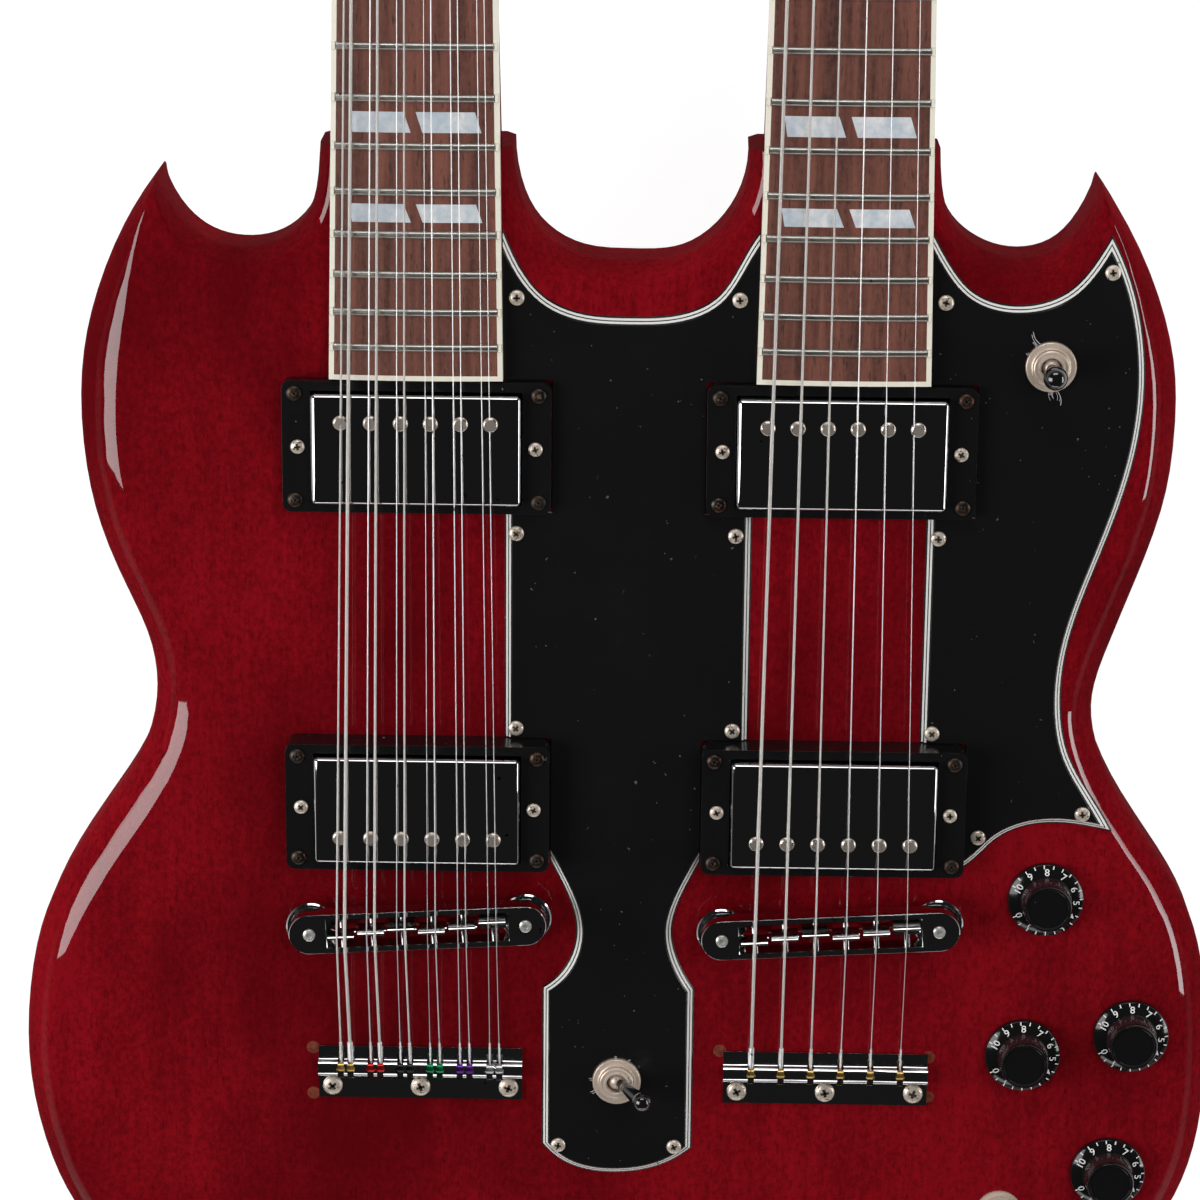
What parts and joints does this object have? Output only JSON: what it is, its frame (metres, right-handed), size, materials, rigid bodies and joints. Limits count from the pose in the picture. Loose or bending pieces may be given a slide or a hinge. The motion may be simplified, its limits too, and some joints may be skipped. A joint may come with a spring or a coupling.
{
  "type": "double-neck electric guitar",
  "caption": "Solid-body electric guitar with a twelve-string neck and a six-string neck side by side, each with its own pickups, bridge and tailpiece.",
  "frame": {"origin": "on the body's flat back, midway between the two necks' centre lines, under the line where the scale lengths end at the bridges; the guitar lies on its back", "axes": "+X towards the six-string side, +Y along the necks towards the headstocks, +Z out of the front"},
  "size_m": [0.4137, 1.0567, 0.1286],
  "materials": {
    "cherry_wood": "gloss",
    "black_veneer": "gloss",
    "rod_steel": "satin",
    "cover_plastic": "gloss",
    "rosewood": "satin",
    "cream_binding": "gloss",
    "fret_nickel": "polished",
    "pearl": "gloss",
    "white_nut": "satin",
    "tuner_chrome": "polished",
    "guard_plastic": "gloss",
    "nickel_screw": "polished",
    "dark_screw": "worn",
    "ring_plastic": "gloss",
    "chrome": "polished",
    "core_plastic": "matte",
    "string_steel": "polished",
    "ball_brass": "polished",
    "knob_plastic": "gloss",
    "pot_steel": "satin",
    "lever_black": "gloss",
    "jack_nickel": "polished",
    "cover_black": "matte",
    "button_nickel": "polished"
  },
  "bodies": {
    "instrument": {"body": "cherry_wood", "neck_12": "cherry_wood", "neck_6": "cherry_wood", "headplates": "black_veneer", "truss_rods": "rod_steel", "truss_covers": "cover_plastic", "fretboard_12": "rosewood", "fretboard_6": "rosewood", "bindings": "cream_binding", "frets": "fret_nickel", "inlays": "pearl", "nuts": "white_nut", "tuner_housings": "tuner_chrome", "tuner_bushings": "tuner_chrome", "tuner_posts": "tuner_chrome", "pickguard_center": "guard_plastic", "pickguard_treble": "guard_plastic", "small_screws": "nickel_screw", "pickup_rings": "ring_plastic", "pickup_covers": "chrome", "pickup_cores": "core_plastic", "pole_screws": "nickel_screw", "ring_screws": "dark_screw", "height_screws": "nickel_screw", "bridge_bases": "chrome", "bridge_posts": "chrome", "saddles": "chrome", "tailpieces": "chrome", "tailpiece_screws": "nickel_screw", "strings": "string_steel", "ball_ends": "ball_brass", "pots": "pot_steel", "switches": "pot_steel", "output_jack": "jack_nickel", "control_cover": "cover_black", "strap_buttons": "button_nickel"},
    "knob_volume_12": {"knob_volume_12": "knob_plastic"},
    "knob_tone_12": {"knob_tone_12": "knob_plastic"},
    "knob_volume_6": {"knob_volume_6": "knob_plastic"},
    "knob_tone_6": {"knob_tone_6": "knob_plastic"},
    "pickup_switch_lever": {"pickup_switch_lever": "lever_black"},
    "neck_switch_lever": {"neck_switch_lever": "lever_black"},
    "tuner_key_12_01": {"tuner_key_12_01": "tuner_chrome"},
    "tuner_key_12_02": {"tuner_key_12_02": "tuner_chrome"},
    "tuner_key_12_03": {"tuner_key_12_03": "tuner_chrome"},
    "tuner_key_12_04": {"tuner_key_12_04": "tuner_chrome"},
    "tuner_key_12_05": {"tuner_key_12_05": "tuner_chrome"},
    "tuner_key_12_06": {"tuner_key_12_06": "tuner_chrome"},
    "tuner_key_12_07": {"tuner_key_12_07": "tuner_chrome"},
    "tuner_key_12_08": {"tuner_key_12_08": "tuner_chrome"},
    "tuner_key_12_09": {"tuner_key_12_09": "tuner_chrome"},
    "tuner_key_12_10": {"tuner_key_12_10": "tuner_chrome"},
    "tuner_key_12_11": {"tuner_key_12_11": "tuner_chrome"},
    "tuner_key_12_12": {"tuner_key_12_12": "tuner_chrome"},
    "tuner_key_6_01": {"tuner_key_6_01": "tuner_chrome"},
    "tuner_key_6_02": {"tuner_key_6_02": "tuner_chrome"},
    "tuner_key_6_03": {"tuner_key_6_03": "tuner_chrome"},
    "tuner_key_6_04": {"tuner_key_6_04": "tuner_chrome"},
    "tuner_key_6_05": {"tuner_key_6_05": "tuner_chrome"},
    "tuner_key_6_06": {"tuner_key_6_06": "tuner_chrome"}
  },
  "joints": [
    {"name": "knob_volume_12_turn", "type": "hinge", "parent": "instrument", "child": "knob_volume_12", "pos_m": [0.14449, 0.00556, 0.04], "axis": [0, 0, 1], "range_deg": [0, 300]},
    {"name": "knob_tone_12_turn", "type": "hinge", "parent": "instrument", "child": "knob_tone_12", "pos_m": [0.13869, -0.05222, 0.04], "axis": [0, 0, 1], "range_deg": [0, 300]},
    {"name": "knob_volume_6_turn", "type": "hinge", "parent": "instrument", "child": "knob_volume_6", "pos_m": [0.17595, -0.04451, 0.04], "axis": [0, 0, 1], "range_deg": [0, 300]},
    {"name": "knob_tone_6_turn", "type": "hinge", "parent": "instrument", "child": "knob_tone_6", "pos_m": [0.17015, -0.0963, 0.04], "axis": [0, 0, 1], "range_deg": [0, 300]},
    {"name": "pickup_switch_throw", "type": "hinge", "parent": "instrument", "child": "pickup_switch_lever", "pos_m": [0.13869, 0.19303, 0.0374], "axis": [1, 0, 0], "range_deg": [-16, 16]},
    {"name": "neck_switch_throw", "type": "hinge", "parent": "instrument", "child": "neck_switch_lever", "pos_m": [-0.00207, -0.06377, 0.0374], "axis": [0, 1, 0], "range_deg": [-52, 0]},
    {"name": "tuner_key_12_01_turn", "type": "hinge", "parent": "instrument", "child": "tuner_key_12_01", "pos_m": [-0.0975, 0.66224, -0.00816], "axis": [-1, 0, 0], "continuous": true},
    {"name": "tuner_key_12_02_turn", "type": "hinge", "parent": "instrument", "child": "tuner_key_12_02", "pos_m": [-0.0975, 0.69873, -0.01876], "axis": [-1, 0, 0], "continuous": true},
    {"name": "tuner_key_12_03_turn", "type": "hinge", "parent": "instrument", "child": "tuner_key_12_03", "pos_m": [-0.0975, 0.73523, -0.02936], "axis": [-1, 0, 0], "continuous": true},
    {"name": "tuner_key_12_04_turn", "type": "hinge", "parent": "instrument", "child": "tuner_key_12_04", "pos_m": [-0.0975, 0.77172, -0.03996], "axis": [-1, 0, 0], "continuous": true},
    {"name": "tuner_key_12_05_turn", "type": "hinge", "parent": "instrument", "child": "tuner_key_12_05", "pos_m": [-0.0975, 0.80821, -0.05057], "axis": [-1, 0, 0], "continuous": true},
    {"name": "tuner_key_12_06_turn", "type": "hinge", "parent": "instrument", "child": "tuner_key_12_06", "pos_m": [-0.0975, 0.8447, -0.06117], "axis": [-1, 0, 0], "continuous": true},
    {"name": "tuner_key_12_07_turn", "type": "hinge", "parent": "instrument", "child": "tuner_key_12_07", "pos_m": [-0.0435, 0.66224, -0.00816], "axis": [1, 0, 0], "continuous": true},
    {"name": "tuner_key_12_08_turn", "type": "hinge", "parent": "instrument", "child": "tuner_key_12_08", "pos_m": [-0.0435, 0.69873, -0.01876], "axis": [1, 0, 0], "continuous": true},
    {"name": "tuner_key_12_09_turn", "type": "hinge", "parent": "instrument", "child": "tuner_key_12_09", "pos_m": [-0.0435, 0.73523, -0.02936], "axis": [1, 0, 0], "continuous": true},
    {"name": "tuner_key_12_10_turn", "type": "hinge", "parent": "instrument", "child": "tuner_key_12_10", "pos_m": [-0.0435, 0.77172, -0.03996], "axis": [1, 0, 0], "continuous": true},
    {"name": "tuner_key_12_11_turn", "type": "hinge", "parent": "instrument", "child": "tuner_key_12_11", "pos_m": [-0.0435, 0.80821, -0.05057], "axis": [1, 0, 0], "continuous": true},
    {"name": "tuner_key_12_12_turn", "type": "hinge", "parent": "instrument", "child": "tuner_key_12_12", "pos_m": [-0.0435, 0.8447, -0.06117], "axis": [1, 0, 0], "continuous": true},
    {"name": "tuner_key_6_01_turn", "type": "hinge", "parent": "instrument", "child": "tuner_key_6_01", "pos_m": [0.0435, 0.66224, -0.00816], "axis": [-1, 0, 0], "continuous": true},
    {"name": "tuner_key_6_02_turn", "type": "hinge", "parent": "instrument", "child": "tuner_key_6_02", "pos_m": [0.0435, 0.70354, -0.02016], "axis": [-1, 0, 0], "continuous": true},
    {"name": "tuner_key_6_03_turn", "type": "hinge", "parent": "instrument", "child": "tuner_key_6_03", "pos_m": [0.0435, 0.74483, -0.03215], "axis": [-1, 0, 0], "continuous": true},
    {"name": "tuner_key_6_04_turn", "type": "hinge", "parent": "instrument", "child": "tuner_key_6_04", "pos_m": [0.0975, 0.66224, -0.00816], "axis": [1, 0, 0], "continuous": true},
    {"name": "tuner_key_6_05_turn", "type": "hinge", "parent": "instrument", "child": "tuner_key_6_05", "pos_m": [0.0975, 0.70354, -0.02016], "axis": [1, 0, 0], "continuous": true},
    {"name": "tuner_key_6_06_turn", "type": "hinge", "parent": "instrument", "child": "tuner_key_6_06", "pos_m": [0.0975, 0.74483, -0.03215], "axis": [1, 0, 0], "continuous": true}
  ]
}
